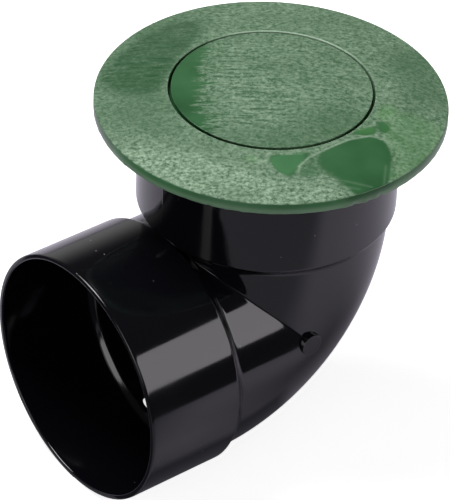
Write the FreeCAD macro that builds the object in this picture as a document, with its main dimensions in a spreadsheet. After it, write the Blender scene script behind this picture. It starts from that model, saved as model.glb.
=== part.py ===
import FreeCAD, Part
import math
import os
import re

import Sketcher
from FreeCAD import Vector

# Pop-up drain emitter: a green lawn flange with a spring-closed cap, on a black 90 degree elbow
# with two pipe sockets. Millimetres, +Z up. The origin is the centre of the inlet socket's mouth,
# the inlet faces -Y, and the emitter's axis stands centre_to_mouth behind it.

SIZES = (
    ("socket_bore", 107.3, "bore of both sockets, a sliding fit on 107.06 mm drain pipe"),
    ("socket_wall", 2.35, "wall of the hubs"),
    ("socket_depth", 45.7, "mouth to pipe stop"),
    ("stop_width", 3.05, "pipe stop, on radius"),
    ("stop_cover", 1.0, "pipe stop to the hub's outside shoulder"),
    ("shoulder_run", 1.2, "length of the cone from hub to bend"),
    ("rim_break", 0.5, "bevel round the outside of each mouth"),
    ("centre_to_mouth", 100.5, "crossing of the two axes to each mouth"),
    ("elbow_wall", 2.4, "wall of the bend"),
    ("heel_ease", 0.3, "swept heel's extra radius, where it runs out of the straight bores"),
    ("nub_dia", 10.0, "round nub on the side of the bend"),
    ("nub_reach", 52.9, "mid plane to the nub's face"),
    ("nub_setback", 14.3, "nub's offset from each axis, towards the throat"),
    ("drain_setback", 3.4, "pipe stop to the drain slot in the floor"),
    ("drain_width", 8.0, "drain slot along the pipe"),
    ("drain_length", 38.0, "drain slot across the pipe"),
    ("flange_dia", 149.4, "lawn flange"),
    ("flange_edge", 5.35, "height of the flange's edge"),
    ("flange_wall", 3.0, "flange thickness over its dished underside"),
    ("lip_width", 3.0, "lip under the flange's edge"),
    ("lip_drop", 1.35, "lip below the top of the elbow"),
    ("edge_round", 0.8, "rounding of the flange's edge"),
    ("dome_rise", 4.85, "rise from the flange's edge to the opening"),
    ("opening_dia", 87.2, "opening for the cap"),
    ("collar_width", 2.6, "collar that sits on the elbow's rim"),
    ("ledge_width", 4.6, "ledge that the cap closes on"),
    ("ledge_wall", 2.6, "thickness of that ledge"),
    ("spigot_length", 40.0, "spigot below the elbow's rim"),
    ("spigot_wall", 2.8, "wall of the spigot"),
    ("spigot_clearance", 0.25, "spigot to socket, on radius"),
    ("spigot_bevel", 1.0, "lead-in at the foot of the spigot"),
    ("throat_drop", 3.0, "start of the taper inside, below the rim"),
    ("arm_count", 4.0, "spider arms"),
    ("arm_wall", 3.0, "thickness of an arm"),
    ("arm_root", 9.0, "height of an arm at the spigot"),
    ("sleeve_drop", 8.5, "top of the guide sleeve below the rim"),
    ("sleeve_length", 16.0, "guide sleeve"),
    ("sleeve_dia", 18.0, "outside of the guide sleeve"),
    ("stem_dia", 10.0, "stem of the cap"),
    ("stem_clearance", 0.3, "stem to sleeve, on radius"),
    ("cap_gap", 0.9, "gap round the cap, on radius"),
    ("cap_edge", 3.6, "height of the cap's edge above the ledge"),
    ("cap_wall", 3.0, "thickness of the cap"),
    ("cap_rim", 6.0, "ring under the cap that lies on the ledge"),
    ("cap_round", 0.5, "rounding of the cap's edge and of the opening"),
    ("rib_count", 6.0, "ribs under the cap"),
    ("rib_wall", 2.2, "thickness of a rib"),
    ("rib_depth", 6.0, "depth of a rib at the stem, below the ledge"),
    ("rib_clearance", 2.5, "end of a rib to the ledge"),
    ("spring_rest", 36.0, "length of the spring with the cap closed"),
    ("spring_wire", 1.5, "spring wire"),
    ("spring_turns", 6.0, "turns of the spring"),
    ("spring_chords", 12.0, "straight chords that stand for one turn"),
    ("spring_clearance", 0.9, "spring to stem, on radius"),
    ("washer_dia", 18.0, "washer under the spring"),
    ("washer_wall", 1.5, "thickness of the washer"),
    ("screw_dia", 4.0, "shank of the screw"),
    ("screw_length", 14.0, "shank inside the stem"),
    ("screw_clearance", 0.1, "shank to its hole, on radius"),
    ("screw_head_dia", 8.4, "pan head"),
    ("screw_head_rise", 2.8, "height of the pan head"),
    ("recess_span", 4.4, "cross recess, tip to tip"),
    ("recess_width", 1.1, "width of a slot of the recess"),
    ("recess_depth", 1.6, "depth of the recess"),
)

doc = FreeCAD.newDocument("pop_up_drain_emitter")
sheet = doc.addObject("Spreadsheet::Sheet", "Sizes")
for row, (alias, number, meaning) in enumerate(SIZES, start=1):
    sheet.set(f"A{row}", meaning)
    sheet.set(f"B{row}", str(number))
    sheet.setAlias(f"B{row}", alias)
doc.recompute()

# Sizes that follow from the driving ones. Elbow sizes are from the crossing of its axes, and
# emitter sizes are heights from the elbow's upper rim.
SOCKET_R = "(socket_bore / 2)"
HUB_R = "(socket_bore / 2 + socket_wall)"
WATERWAY_R = f"({SOCKET_R} - stop_width)"
BEND_SKIN_R = f"({WATERWAY_R} + elbow_wall)"
STOP = "(centre_to_mouth - socket_depth)"
SHOULDER = f"({STOP} - stop_cover)"
BEND_R = f"({SHOULDER} - shoulder_run)"
FLANGE_R = "(flange_dia / 2)"
OPENING_R = "(opening_dia / 2)"
EDGE_TOP = "(flange_edge - lip_drop)"
OPENING_TOP = f"({EDGE_TOP} + dome_rise)"
DOME_DEPTH = f"(({FLANGE_R}^2 - {OPENING_R}^2 - dome_rise^2) / (2 * dome_rise))"
DOME_R = f"sqrt({FLANGE_R}^2 + {DOME_DEPTH}^2)"
LEDGE_TOP = f"({OPENING_TOP} - cap_edge)"
LEDGE_R = f"({OPENING_R} - ledge_width)"
SPIGOT_R = f"({SOCKET_R} - spigot_clearance)"
SPIGOT_BORE_R = f"({SPIGOT_R} - spigot_wall)"
SLEEVE_FOOT = "(sleeve_drop + sleeve_length)"
STEM_R = "(stem_dia / 2)"
STEM_END = f"({SLEEVE_FOOT} + spring_rest)"
CAP_R = f"({OPENING_R} - cap_gap)"
RIB_END_R = f"({LEDGE_R} - rib_clearance)"


def cells(expression):
    """The expression with each size name pointed at its cell of the sheet."""
    return re.sub(r"\b[a-z]+(?:_[a-z]+)+\b", r"Sizes.\g<0>", expression)


def size(expression):
    """The value of an expression, in millimetres."""
    return float(sheet.evalExpression(cells(expression)))


def dome_at(radius, inset="0"):
    """Height of the flange's dome, or of a dome inset below it, at a distance from the axis."""
    return f"({EDGE_TOP} - {DOME_DEPTH} + sqrt(({DOME_R} - {inset})^2 - ({radius})^2))"


def new_body(name):
    return doc.addObject("PartDesign::Body", name)


def new_sketch(body, name, plane, offset="0"):
    """A sketch on one of the body's own origin planes, moved along that plane's normal."""
    sketch = body.newObject("Sketcher::SketchObject", name)
    support = next(item for item in body.Origin.OriginFeatures if item.Role == plane)
    sketch.AttachmentSupport = (support, [""])
    sketch.MapMode = "FlatFace"
    sketch.setExpression("AttachmentOffset.Base.z", cells(offset))
    return sketch


def pin_point(sketch, geometry, point, across, up):
    """Holds a point of the sketch at two expressions, measured from the sketch's origin."""
    for kind, expression in (("DistanceX", across), ("DistanceY", up)):
        index = sketch.addConstraint(
            Sketcher.Constraint(kind, -1, 1, geometry, point, size(expression)))
        label = f"{kind}_{geometry}_{point}"
        sketch.renameConstraint(index, label)
        sketch.setExpression(f"Constraints.{label}", cells(expression))


def set_radius(sketch, geometry, expression):
    index = sketch.addConstraint(Sketcher.Constraint("Radius", geometry, size(expression)))
    sketch.renameConstraint(index, f"radius_{geometry}")
    sketch.setExpression(f"Constraints.radius_{geometry}", cells(expression))


def outline(sketch, corners, arcs=()):
    """A closed outline through the corners, each a pair of expressions.

    The side after each corner named in arcs is an arc about a point of the sketch's upright axis.
    """
    points = [Vector(size(across), size(up), 0) for across, up in corners]
    starts = []
    ends = []
    for number, here in enumerate(points):
        there = points[(number + 1) % len(points)]
        if number not in arcs:
            sketch.addGeometry(Part.LineSegment(here, there))
            starts.append(1)
            ends.append(2)
            continue
        middle = (here.x ** 2 + here.y ** 2 - there.x ** 2 - there.y ** 2) / (2 * (here.y - there.y))
        centre = Vector(0, middle, 0)
        anticlockwise = (here - centre).cross(there - centre).z > 0
        first, last = (here, there) if anticlockwise else (there, here)
        circle = Part.Circle(centre, Vector(0, 0, 1), (here - centre).Length)
        sketch.addGeometry(Part.ArcOfCircle(circle, circle.parameter(first), circle.parameter(last)))
        sketch.addConstraint(Sketcher.Constraint("PointOnObject", number, 3, -2))
        starts.append(1 if anticlockwise else 2)
        ends.append(2 if anticlockwise else 1)
    for number, (across, up) in enumerate(corners):
        before = number - 1 if number else len(corners) - 1
        sketch.addConstraint(
            Sketcher.Constraint("Coincident", before, ends[before], number, starts[number]))
        pin_point(sketch, number, starts[number], across, up)


def slot(sketch, reach, up, radius):
    """A slot with round ends, along the sketch's across axis."""
    half, height, end = size(reach), size(up), size(radius)
    for side in (1, -1):
        circle = Part.Circle(Vector(side * half, height, 0), Vector(0, 0, 1), end)
        first = Vector(side * half, height - side * end, 0)
        last = Vector(side * half, height + side * end, 0)
        arc = sketch.addGeometry(
            Part.ArcOfCircle(circle, circle.parameter(first), circle.parameter(last)))
        pin_point(sketch, arc, 3, reach if side > 0 else f"-{reach}", up)
        set_radius(sketch, arc, radius)
        line_end = Vector(-side * half, height + side * end, 0)
        sketch.addGeometry(Part.LineSegment(last, line_end))
    for before, after in ((0, 1), (1, 2), (2, 3), (3, 0)):
        sketch.addConstraint(Sketcher.Constraint("Tangent", before, 2, after, 1))


def cross_corners(reach, half):
    """Corners of an upright cross: four arms of one reach and one half width."""
    return (
        (reach, f"-{half}"), (reach, half), (half, half), (half, reach),
        (f"-{half}", reach), (f"-{half}", half), (f"-{reach}", half), (f"-{reach}", f"-{half}"),
        (f"-{half}", f"-{half}"), (f"-{half}", f"-{reach}"), (half, f"-{reach}"), (half, f"-{half}"),
    )


def revolve(body, name, sketch, axis, kind="PartDesign::Revolution"):
    """A full turn of the sketch about one of its own axes."""
    feature = body.newObject(kind, name)
    feature.Profile = sketch
    feature.ReferenceAxis = (sketch, [axis])
    feature.Angle = 360
    return feature


def extrude(body, name, sketch, length, kind="PartDesign::Pad", midplane=False, backwards=False):
    """A pad or pocket of the sketch, as long as an expression says."""
    feature = body.newObject(kind, name)
    feature.Profile = sketch
    feature.setExpression("Length", cells(length))
    feature.SideType = "Symmetric" if midplane else "One side"
    feature.Reversed = backwards
    return feature


def repeat_round(body, name, feature, count):
    """Copies of a feature spaced evenly about the body's upright axis."""
    doc.recompute()
    pattern = body.newObject("PartDesign::PolarPattern", name)
    pattern.Originals = [feature]
    upright = next(item for item in body.Origin.OriginFeatures if item.Role == "Z_Axis")
    pattern.Axis = (upright, [""])
    pattern.Angle = 360
    pattern.setExpression("Occurrences", cells(count))
    body.Tip = pattern
    return pattern


def round_rings(body, name, base, rings, radius):
    """Rounds the circular edges of a feature that have the given radii and heights."""
    doc.recompute()
    wanted = [(size(ring), size(height)) for ring, height in rings]
    found = []
    for number, edge in enumerate(base.Shape.Edges, start=1):
        if edge.Degenerated or not isinstance(edge.Curve, Part.Circle):
            continue
        here = (edge.Curve.Radius, edge.Curve.Center.z)
        if any(abs(here[0] - ring) + abs(here[1] - height) < 0.001 for ring, height in wanted):
            found.append(f"Edge{number}")
    fillet = body.newObject("PartDesign::Fillet", name)
    fillet.Base = (base, found)
    fillet.setExpression("Radius", cells(radius))
    body.Tip = fillet
    return fillet


def place(item, up="0"):
    """Stands a finished sub-part in the frame: on the emitter's axis, at a height."""
    item.setExpression("Placement.Base.y", cells("centre_to_mouth"))
    item.setExpression("Placement.Base.z", cells(up))


# Elbow: one black moulding. Two straight bores meet in a mitre at the throat, and the heel is
# swept round the point where the two hubs meet, so the throat is creased and the heel is smooth.

def bend(body, radius):
    """The mitred pipe from mouth to mouth, with its square heel turned down to a swept one."""
    path = new_sketch(body, body.Name + "_path", "YZ_Plane")
    path.addGeometry(Part.LineSegment(Vector(-size("centre_to_mouth"), 0, 0), Vector(0, 0, 0)))
    path.addGeometry(Part.LineSegment(Vector(0, 0, 0), Vector(0, size("centre_to_mouth"), 0)))
    path.addConstraint(Sketcher.Constraint("Coincident", 0, 2, -1, 1))
    path.addConstraint(Sketcher.Constraint("Coincident", 1, 1, -1, 1))
    pin_point(path, 0, 1, "-centre_to_mouth", "0")
    pin_point(path, 1, 2, "0", "centre_to_mouth")
    ring = new_sketch(body, body.Name + "_ring", "XZ_Plane", "centre_to_mouth")
    ring.addGeometry(Part.Circle(Vector(0, 0, 0), Vector(0, 0, 1), size(radius)))
    ring.addConstraint(Sketcher.Constraint("Coincident", 0, 3, -1, 1))
    set_radius(ring, 0, radius)
    doc.recompute()
    pipe = body.newObject("PartDesign::AdditivePipe", body.Name + "_pipe")
    pipe.Profile = ring
    pipe.Spine = (path, ["Edge1", "Edge2"])
    pipe.Transition = "Right corner"
    doc.recompute()

    heel = new_sketch(body, body.Name + "_heel", "XZ_Plane", BEND_R)
    sweep = f"({radius} + heel_ease)"
    side = f"({radius} + elbow_wall)"
    deep = f"(sqrt(2) * ({BEND_R} + {radius}) + elbow_wall - {BEND_R})"
    outline(heel, (
        (f"-{side}", "0"),
        (f"-{side}", f"-{deep}"),
        (side, f"-{deep}"),
        (side, "0"),
        (sweep, "0"),
        ("0", f"-{sweep}"),
        (f"-{sweep}", "0"),
    ), arcs=(4, 5))
    axis_ends = ((f"-{side}", BEND_R), (side, BEND_R))
    first, last = (Vector(size(across), size(up), 0) for across, up in axis_ends)
    axis = heel.addGeometry(Part.LineSegment(first, last), True)
    for point, (across, up) in enumerate(axis_ends, start=1):
        pin_point(heel, axis, point, across, up)
    doc.recompute()
    turning = body.newObject("PartDesign::Groove", body.Name + "_turning")
    turning.Profile = heel
    turning.ReferenceAxis = (heel, ["Axis0"])
    turning.Angle = 90
    doc.recompute()


def turned_leg(body, name, corners):
    """One profile of (distance from the crossing, radius) turned about each leg of the elbow."""
    inlet = new_sketch(body, name + "_inlet_profile", "YZ_Plane")
    outline(inlet, [(f"-{along}", radius) for along, radius in corners])
    revolve(body, name + "_inlet", inlet, "H_Axis")
    riser = new_sketch(body, name + "_riser_profile", "YZ_Plane")
    outline(riser, [(radius, along) for along, radius in corners])
    revolve(body, name + "_riser", riser, "V_Axis")


elbow_skin = new_body("elbow_skin")
bend(elbow_skin, BEND_SKIN_R)
SUNK_R = f"({BEND_SKIN_R} - elbow_wall / 2)"
SUNK_RUN = f"(shoulder_run * ({HUB_R} - {SUNK_R}) / ({HUB_R} - {BEND_SKIN_R}))"
turned_leg(elbow_skin, "hub", (
    (f"({SHOULDER} - {SUNK_RUN})", "0"),
    ("centre_to_mouth", "0"),
    ("centre_to_mouth", f"({HUB_R} - rim_break)"),
    ("(centre_to_mouth - rim_break)", HUB_R),
    (SHOULDER, HUB_R),
    (f"({SHOULDER} - {SUNK_RUN})", SUNK_R),
))
nub_sketch = new_sketch(elbow_skin, "nub_outline", "YZ_Plane")
nub_centre = Vector(-size("nub_setback"), size("nub_setback"), 0)
nub_sketch.addGeometry(Part.Circle(nub_centre, Vector(0, 0, 1), size("nub_dia / 2")))
pin_point(nub_sketch, 0, 3, "-nub_setback", "nub_setback")
set_radius(nub_sketch, 0, "nub_dia / 2")
extrude(elbow_skin, "nub", nub_sketch, "nub_reach")

elbow_waterway = new_body("elbow_waterway")
bend(elbow_waterway, WATERWAY_R)
turned_leg(elbow_waterway, "socket", (
    (STOP, "0"),
    ("centre_to_mouth", "0"),
    ("centre_to_mouth", SOCKET_R),
    (STOP, SOCKET_R),
))
drain_sketch = new_sketch(elbow_waterway, "drain_outline", "XY_Plane")
DRAIN_R = "(drain_width / 2)"
DRAIN_REACH = f"(drain_length / 2 - {DRAIN_R})"
DRAIN_Y = f"(drain_setback + {DRAIN_R} - {STOP})"
slot(drain_sketch, DRAIN_REACH, DRAIN_Y, DRAIN_R)
extrude(elbow_waterway, "drain", drain_sketch, HUB_R, backwards=True)

elbow = doc.addObject("Part::Cut", "elbow")
elbow.Base = elbow_skin
elbow.Tool = elbow_waterway
place(elbow)

# Emitter body: one green moulding. A domed lawn flange with a lip, a collar that sits on the
# elbow's rim, a spigot that slides into the upper socket, a ledge for the cap, and a spider with
# a guide sleeve for the stem.

emitter_body = new_body("emitter_body")
flange_profile = new_sketch(emitter_body, "flange_profile", "XZ_Plane")
COLLAR_R = f"({SPIGOT_R} + collar_width)"
LIP_R = f"({FLANGE_R} - lip_width)"
LEDGE_ROOT_R = f"({OPENING_R} + ledge_wall)"
outline(flange_profile, (
    (SPIGOT_BORE_R, "-spigot_length"),
    (f"({SPIGOT_R} - spigot_bevel)", "-spigot_length"),
    (SPIGOT_R, "(spigot_bevel - spigot_length)"),
    (SPIGOT_R, "0"),
    (COLLAR_R, "0"),
    (COLLAR_R, dome_at(COLLAR_R, "flange_wall")),
    (LIP_R, dome_at(LIP_R, "flange_wall")),
    (LIP_R, "-lip_drop"),
    (FLANGE_R, "-lip_drop"),
    (FLANGE_R, EDGE_TOP),
    (OPENING_R, OPENING_TOP),
    (OPENING_R, LEDGE_TOP),
    (LEDGE_R, LEDGE_TOP),
    (LEDGE_R, f"({LEDGE_TOP} - ledge_wall)"),
    (LEDGE_ROOT_R, f"({LEDGE_TOP} - ledge_wall)"),
    (SPIGOT_BORE_R, "-throat_drop"),
), arcs=(5, 9))
flange = revolve(emitter_body, "flange", flange_profile, "V_Axis")
rounded = round_rings(emitter_body, "flange_edges", flange, (
    (FLANGE_R, EDGE_TOP),
    (FLANGE_R, "-lip_drop"),
), "edge_round")
round_rings(emitter_body, "opening_edge", rounded, ((OPENING_R, OPENING_TOP),), "cap_round")

sleeve_profile = new_sketch(emitter_body, "sleeve_profile", "XZ_Plane")
outline(sleeve_profile, (
    ("0", f"-{SLEEVE_FOOT}"),
    ("sleeve_dia / 2", f"-{SLEEVE_FOOT}"),
    ("sleeve_dia / 2", "-sleeve_drop"),
    ("0", "-sleeve_drop"),
))
arm_sketch = new_sketch(emitter_body, "arm_outline", "XZ_Plane")
ARM_END_R = f"({SPIGOT_BORE_R} + spigot_wall / 2)"
outline(arm_sketch, (
    ("0", f"(arm_wall / 2 - {SLEEVE_FOOT})"),
    ("sleeve_dia / 2", f"(arm_wall / 2 - {SLEEVE_FOOT})"),
    (ARM_END_R, "(-sleeve_drop - arm_wall / 2 - arm_root)"),
    (ARM_END_R, "(-sleeve_drop - arm_wall / 2)"),
    ("0", "(-sleeve_drop - arm_wall / 2)"),
))
arm = extrude(emitter_body, "arm", arm_sketch, "arm_wall", midplane=True)
repeat_round(emitter_body, "arms", arm, "arm_count")
revolve(emitter_body, "sleeve", sleeve_profile, "V_Axis")
bore_profile = new_sketch(emitter_body, "sleeve_bore_profile", "XZ_Plane")
SLEEVE_BORE_R = f"({STEM_R} + stem_clearance)"
outline(bore_profile, (
    ("0", f"-{SLEEVE_FOOT}"),
    (SLEEVE_BORE_R, f"-{SLEEVE_FOOT}"),
    (SLEEVE_BORE_R, "-sleeve_drop"),
    ("0", "-sleeve_drop"),
))
revolve(emitter_body, "sleeve_bore", bore_profile, "V_Axis", "PartDesign::Groove")
place(emitter_body, up="centre_to_mouth")

# Cap: one green moulding, a disc that carries on the flange's dome, with a ring that lies on the
# ledge, ribs, and a stem that is drilled for the screw.

pop_up_cap = new_body("pop_up_cap")
cap_profile = new_sketch(pop_up_cap, "cap_profile", "XZ_Plane")
CAP_RIM_R = f"({CAP_R} - cap_rim)"
PILOT_R = "(screw_dia / 2 + screw_clearance)"
PILOT_TOP = f"(screw_length + screw_dia - {STEM_END})"
outline(cap_profile, (
    (PILOT_R, f"-{STEM_END}"),
    (STEM_R, f"-{STEM_END}"),
    (STEM_R, dome_at(STEM_R, "cap_wall")),
    (CAP_RIM_R, dome_at(CAP_RIM_R, "cap_wall")),
    (CAP_RIM_R, LEDGE_TOP),
    (CAP_R, LEDGE_TOP),
    (CAP_R, dome_at(CAP_R)),
    ("0", dome_at("0")),
    ("0", PILOT_TOP),
    (PILOT_R, PILOT_TOP),
), arcs=(2, 6))
disc = revolve(pop_up_cap, "disc", cap_profile, "V_Axis")
round_rings(pop_up_cap, "cap_edge_round", disc, ((CAP_R, dome_at(CAP_R)),), "cap_round")
rib_sketch = new_sketch(pop_up_cap, "rib_outline", "XZ_Plane")
RIB_START_R = f"({STEM_R} / 2)"
outline(rib_sketch, (
    (RIB_START_R, f"({LEDGE_TOP} - rib_depth)"),
    (STEM_R, f"({LEDGE_TOP} - rib_depth)"),
    (RIB_END_R, LEDGE_TOP),
    (RIB_END_R, dome_at(RIB_END_R, "cap_wall / 2")),
    (RIB_START_R, dome_at(RIB_START_R, "cap_wall / 2")),
), arcs=(3,))
rib = extrude(pop_up_cap, "rib", rib_sketch, "rib_wall", midplane=True)
repeat_round(pop_up_cap, "ribs", rib, "rib_count")
place(pop_up_cap, up="centre_to_mouth")

# Return spring: one length of stainless wire wound round the stem, from the guide sleeve's foot
# to the washer. It is shortened as the cap rises, and pulls the cap shut.

COIL_R = f"({STEM_R} + spring_clearance + spring_wire / 2)"
WIRE_SIDES = 8


def coil(radius, wire, rise, turns, chords):
    """Wire of an octagonal section, carried along the chords of a helix that climbs by rise."""
    steps = round(turns * chords)
    turn = [2 * math.pi * step / chords for step in range(steps + 1)]
    path = [
        Vector(radius * math.cos(angle), radius * math.sin(angle), rise * step / steps)
        for step, angle in enumerate(turn)
    ]
    along = (path[1] - path[0]).normalize()
    sideways = along.cross(Vector(0, 0, 1)).normalize()
    upwards = sideways.cross(along)
    corners = []
    for side in range(WIRE_SIDES):
        angle = 2 * math.pi * (side + 0.5) / WIRE_SIDES
        corners.append(path[0] + (sideways * math.cos(angle) + upwards * math.sin(angle)) * (wire / 2))
    section = Part.makePolygon(corners + corners[:1])
    right_corners = 1
    return Part.makePolygon(path).makePipeShell([section], True, False, right_corners)


return_spring = doc.addObject("Part::Feature", "return_spring")
return_spring.Shape = coil(
    size(COIL_R), size("spring_wire"), size("spring_rest - spring_wire"),
    size("spring_turns"), size("spring_chords"))
place(return_spring, up=f"(centre_to_mouth - {STEM_END} + spring_wire / 2)")

# Washer and screw: stainless, they hold the foot of the spring on the end of the stem.

spring_washer = new_body("spring_washer")
washer_profile = new_sketch(spring_washer, "washer_profile", "XZ_Plane")
outline(washer_profile, (
    (PILOT_R, "-washer_wall"),
    ("washer_dia / 2", "-washer_wall"),
    ("washer_dia / 2", "0"),
    (PILOT_R, "0"),
))
revolve(spring_washer, "washer", washer_profile, "V_Axis")
place(spring_washer, up=f"(centre_to_mouth - {STEM_END})")

retaining_screw = new_body("retaining_screw")
screw_profile = new_sketch(retaining_screw, "screw_profile", "XZ_Plane")
HEAD_FOOT = "(-washer_wall - screw_head_rise)"
outline(screw_profile, (
    ("0", HEAD_FOOT),
    ("screw_head_dia / 4", HEAD_FOOT),
    ("screw_head_dia / 2", "(-washer_wall - screw_head_rise / 2)"),
    ("screw_head_dia / 2", "-washer_wall"),
    ("screw_dia / 2", "-washer_wall"),
    ("screw_dia / 2", "(screw_length - screw_dia / 2)"),
    ("0", "screw_length"),
))
revolve(retaining_screw, "head_and_shank", screw_profile, "V_Axis")
recess_sketch = new_sketch(retaining_screw, "recess_outline", "XY_Plane", HEAD_FOOT)
outline(recess_sketch, cross_corners("(recess_span / 2)", "(recess_width / 2)"))
extrude(retaining_screw, "recess", recess_sketch, "recess_depth", "PartDesign::Pocket", backwards=True)
place(retaining_screw, up=f"(centre_to_mouth - {STEM_END})")

# Every object is checked before any file is written.

SUBPARTS = (elbow, emitter_body, pop_up_cap, return_spring, spring_washer, retaining_screw)
doc.recompute()
for item in doc.Objects:
    if "Invalid" in item.State or "Error" in item.State:
        raise RuntimeError(f"{item.Name} failed: {item.State}")
for part in SUBPARTS:
    if part.Shape.isNull() or not part.Shape.isValid():
        raise RuntimeError(f"{part.Label} has no valid shape")

os.makedirs("parts", exist_ok=True)
for part in SUBPARTS:
    part.Shape.exportStep(f"parts/{part.Label}.step")
    print(part.Label, len(part.Shape.Solids), round(part.Shape.Volume), part.Shape.BoundBox)
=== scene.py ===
import math

import bmesh
import bpy
import numpy as np
from mathutils import Matrix, Vector


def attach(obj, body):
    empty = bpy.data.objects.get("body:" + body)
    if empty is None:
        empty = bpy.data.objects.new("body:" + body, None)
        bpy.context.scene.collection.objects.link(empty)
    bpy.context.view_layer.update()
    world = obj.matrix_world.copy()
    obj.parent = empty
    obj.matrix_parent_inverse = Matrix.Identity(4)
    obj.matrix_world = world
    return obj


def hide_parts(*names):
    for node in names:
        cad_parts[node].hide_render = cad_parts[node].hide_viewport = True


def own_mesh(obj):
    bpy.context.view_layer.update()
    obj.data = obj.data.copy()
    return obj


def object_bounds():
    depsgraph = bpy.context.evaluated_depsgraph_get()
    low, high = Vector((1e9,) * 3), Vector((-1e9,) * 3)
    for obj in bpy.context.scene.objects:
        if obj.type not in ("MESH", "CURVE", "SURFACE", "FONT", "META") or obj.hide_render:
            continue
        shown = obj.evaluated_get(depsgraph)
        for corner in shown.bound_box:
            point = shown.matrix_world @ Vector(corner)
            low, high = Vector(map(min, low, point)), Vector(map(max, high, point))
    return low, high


# Frame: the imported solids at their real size, in metres. The origin is the centre of the inlet's
# mouth, the inlet faces -Y, and +Z is up. Sizes in this file are millimetres, made metres by MM.

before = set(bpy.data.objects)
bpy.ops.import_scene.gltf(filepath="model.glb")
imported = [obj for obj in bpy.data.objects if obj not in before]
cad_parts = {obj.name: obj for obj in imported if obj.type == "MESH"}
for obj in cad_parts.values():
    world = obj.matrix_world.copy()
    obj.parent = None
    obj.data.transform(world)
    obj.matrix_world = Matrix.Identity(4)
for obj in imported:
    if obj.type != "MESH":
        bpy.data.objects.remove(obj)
cad_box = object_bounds()
MM = 0.001

# Elbow: one injection moulding in black styrene, with a pipe socket at each end. Its throat is a
# mitre of two straight pipes, its heel is swept, and the mould halves met in the plane x = 0.

HUB_R = 56.0
SOCKET_R = 53.65
SKIN_R = 53.0
BORE_R = 50.6
MOUTH = 100.5
STOP = 54.8
BEND_R = 52.6
SLOT_HALF = 19.0
SLOT_R = 4.0
SLOT_SETBACK = 3.4
SLOT_Y = MOUTH - STOP + SLOT_SETBACK + SLOT_R
CREASE_ROUND = 0.4
RIDGE_ROUND = 2.2
SHOULDER_FOOT = 0.55
SHOULDER_RUN = 2.0
SHOULDER_ROWS = 7
SHARP_RIM = 0.35
RIM_EASE = 3.5
SEAM_RISE = 0.04
SEAM_HALF = 0.22
SLOT_WELD = 0.03
NUB_SETBACK = 14.3
NUB_R = 5.0
NUB_FACE = 52.9
NUB_DROP = 1.5
NUB_EASE = 0.35
NUB_ROOT = 8.0
NUB_STEPS = 48
PIPE_STEPS = 168
SEAM_STEPS = (0.12, 0.22, 0.34, 0.55, 0.9)
SLOT_END_STEPS = 9
BEND_ROWS = 51
BEND_EVEN = (7.0, 83.0)
MITRE_TURN = 45.0
MITRE_STEPS = (0.08, 0.16, 0.27, 0.42, 0.65, 1.0, 1.6, 2.6)
PAST_TIP_SPREAD = 0.1
PAST_TIP_RUN = 5.0
THROAT_ROW_HALF = 0.5
HEEL_LEAST = 80.0
SHOULDER_CROWDING = 1.3
SHOULDER_TURN = 5.0
LEAST_TURN_R = 4.0
THROAT_FREE = 40.0
FACES_THROAT = 0.05


def hub_profile():
    """Distance from the crossing and radius of a hub's outside: rounded rim, wall and shoulder."""
    foot = SKIN_R + SHOULDER_FOOT
    return np.array([
        (100.5, 55.25), (100.46, 55.47), (100.36, 55.66), (100.2, 55.8), (100.0, 55.9), (99.7, 55.96),
        (99.3, 55.99), (98.6, HUB_R), (95.0, HUB_R), (80.0, HUB_R), (56.6, HUB_R),
        (56.0, HUB_R), (55.6, 55.97), (55.3, 55.85), (55.05, 55.6), (54.4, 54.8), (53.8, 54.4),
        (53.2, 53.92), (52.6, foot)])


def socket_profile():
    """Distance from the crossing and radius of a socket: eased rim, bore, coned pipe stop, waterway."""
    return np.array([
        (100.5, 54.25), (100.46, 54.05), (100.36, 53.88), (100.15, 53.76), (99.8, 53.68), (99.3, SOCKET_R),
        (98.4, SOCKET_R), (90.0, SOCKET_R), (75.0, SOCKET_R), (58.0, SOCKET_R), (56.2, SOCKET_R),
        (55.7, 53.55), (55.55, 53.3), (55.5, 52.95), (55.3, 52.65), (54.45, 51.8), (54.1, 51.35),
        (53.7, 50.9), (52.6, BORE_R)])


def around_pipe():
    """Angles round a pipe from the throat, closer together at the parting plane and the slot's ends."""
    even = np.linspace(0, 2 * np.pi, PIPE_STEPS, endpoint=False)
    fine = np.array(SEAM_STEPS) / HUB_R
    seam = np.concatenate([fine, -fine, np.pi + fine, np.pi - fine])
    tip = np.sin(np.linspace(0, np.pi / 2, SLOT_END_STEPS))
    bow = np.arcsin((SLOT_HALF - SLOT_R + SLOT_R * tip) / SKIN_R)
    return np.unique(np.round(np.concatenate([even, seam % (2 * np.pi), np.pi + bow, np.pi - bow]), 6))


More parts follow.
